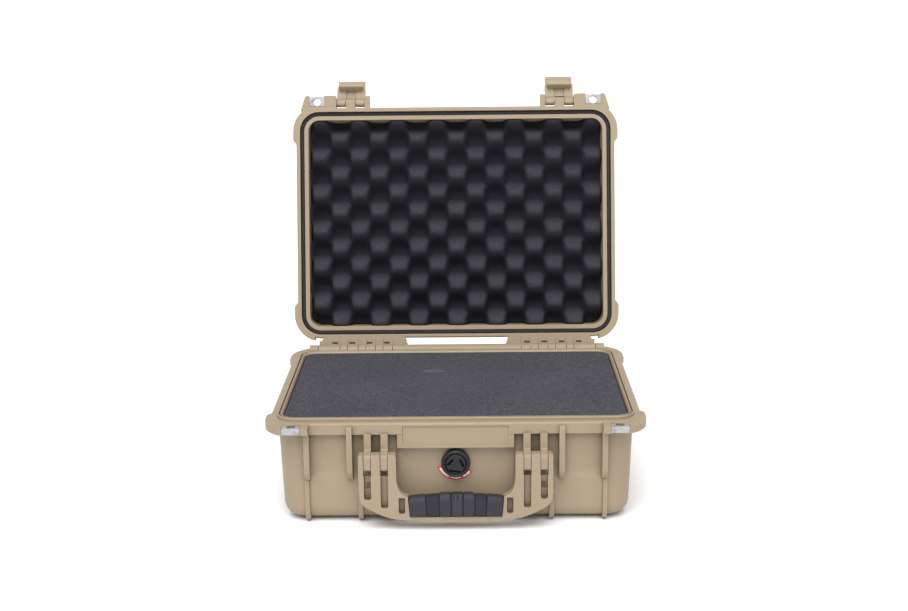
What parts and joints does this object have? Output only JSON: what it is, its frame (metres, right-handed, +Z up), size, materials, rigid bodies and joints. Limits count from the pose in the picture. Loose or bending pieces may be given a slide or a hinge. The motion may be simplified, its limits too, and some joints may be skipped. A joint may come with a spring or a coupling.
{
  "type": "hard equipment case",
  "caption": "Moulded hard case standing open: hinged lid, double-throw latches, folding handle, pressure valve, padlock holes and foam lining.",
  "frame": {"origin": "on the floor, at the middle of the open case's overall length and width; the middle of the base is 59 mm in front of it (towards -Y)", "axes": "+X to the right seen from the front, along the hinge; -Y to the front, where the handle and the latches are; +Z up"},
  "size_m": [0.4068, 0.4501, 0.438],
  "materials": {
    "shell_plastic": "fine-textured moulded plastic, satin",
    "base_foam": "smooth cut polyurethane foam, matte",
    "lid_foam": "open-cell convoluted foam, matte",
    "seal_rubber": "matte",
    "grip_rubber": "matte",
    "valve_plastic": "satin",
    "valve_membrane": "matte",
    "valve_label": "gloss",
    "steel": "brushed stainless steel"
  },
  "bodies": {
    "base": {"base_shell": "shell_plastic", "foam_layer_bottom": "base_foam", "foam_layer_middle": "base_foam", "foam_layer_top": "base_foam", "valve_body": "valve_plastic", "valve_cap": "valve_plastic", "valve_seal": "seal_rubber", "valve_membrane": "valve_membrane", "valve_nut": "valve_plastic", "valve_label": "valve_label", "hinge_pin_left": "steel", "hinge_pin_right": "steel", "handle_pin_left": "steel", "handle_pin_right": "steel", "padlock_guard_base_left": "steel", "padlock_guard_base_right": "steel"},
    "handle": {"handle_frame": "shell_plastic", "handle_grip": "grip_rubber"},
    "lid": {"lid_shell": "shell_plastic", "lid_gasket": "seal_rubber", "lid_foam": "lid_foam", "padlock_guard_lid_left": "steel", "padlock_guard_lid_right": "steel", "latch_pivot_pin_left": "steel", "latch_pivot_pin_right": "steel"},
    "latch_link_left": {"latch_link_left": "shell_plastic", "latch_lever_pin_left": "steel"},
    "latch_lever_left": {"latch_lever_left": "shell_plastic"},
    "latch_link_right": {"latch_link_right": "shell_plastic", "latch_lever_pin_right": "steel"},
    "latch_lever_right": {"latch_lever_right": "shell_plastic"}
  },
  "joints": [
    {"name": "lid_hinge", "type": "hinge", "parent": "base", "child": "lid", "pos_m": [0, 0.1016, 0.1091], "axis": [1, 0, 0], "range_deg": [0, 102.55]},
    {"name": "handle_swing", "type": "hinge", "parent": "base", "child": "handle", "pos_m": [0, -0.215, 0.075], "axis": [-1, 0, 0], "range_deg": [0, 100]},
    {"name": "latch_link_left", "type": "hinge", "parent": "lid", "child": "latch_link_left", "pos_m": [-0.131, 0.18082, 0.41018], "axis": [1, 0, 0], "range_deg": [-8, 122]},
    {"name": "latch_lever_left", "type": "hinge", "parent": "latch_link_left", "child": "latch_lever_left", "pos_m": [-0.131, 0.2023, 0.42131], "axis": [1, 0, 0], "range_deg": [-60, 0]},
    {"name": "latch_link_right", "type": "hinge", "parent": "lid", "child": "latch_link_right", "pos_m": [0.131, 0.18082, 0.41018], "axis": [1, 0, 0], "range_deg": [-14, 116]},
    {"name": "latch_lever_right", "type": "hinge", "parent": "latch_link_right", "child": "latch_lever_right", "pos_m": [0.131, 0.20101, 0.4235], "axis": [1, 0, 0], "range_deg": [-60, 0]}
  ]
}
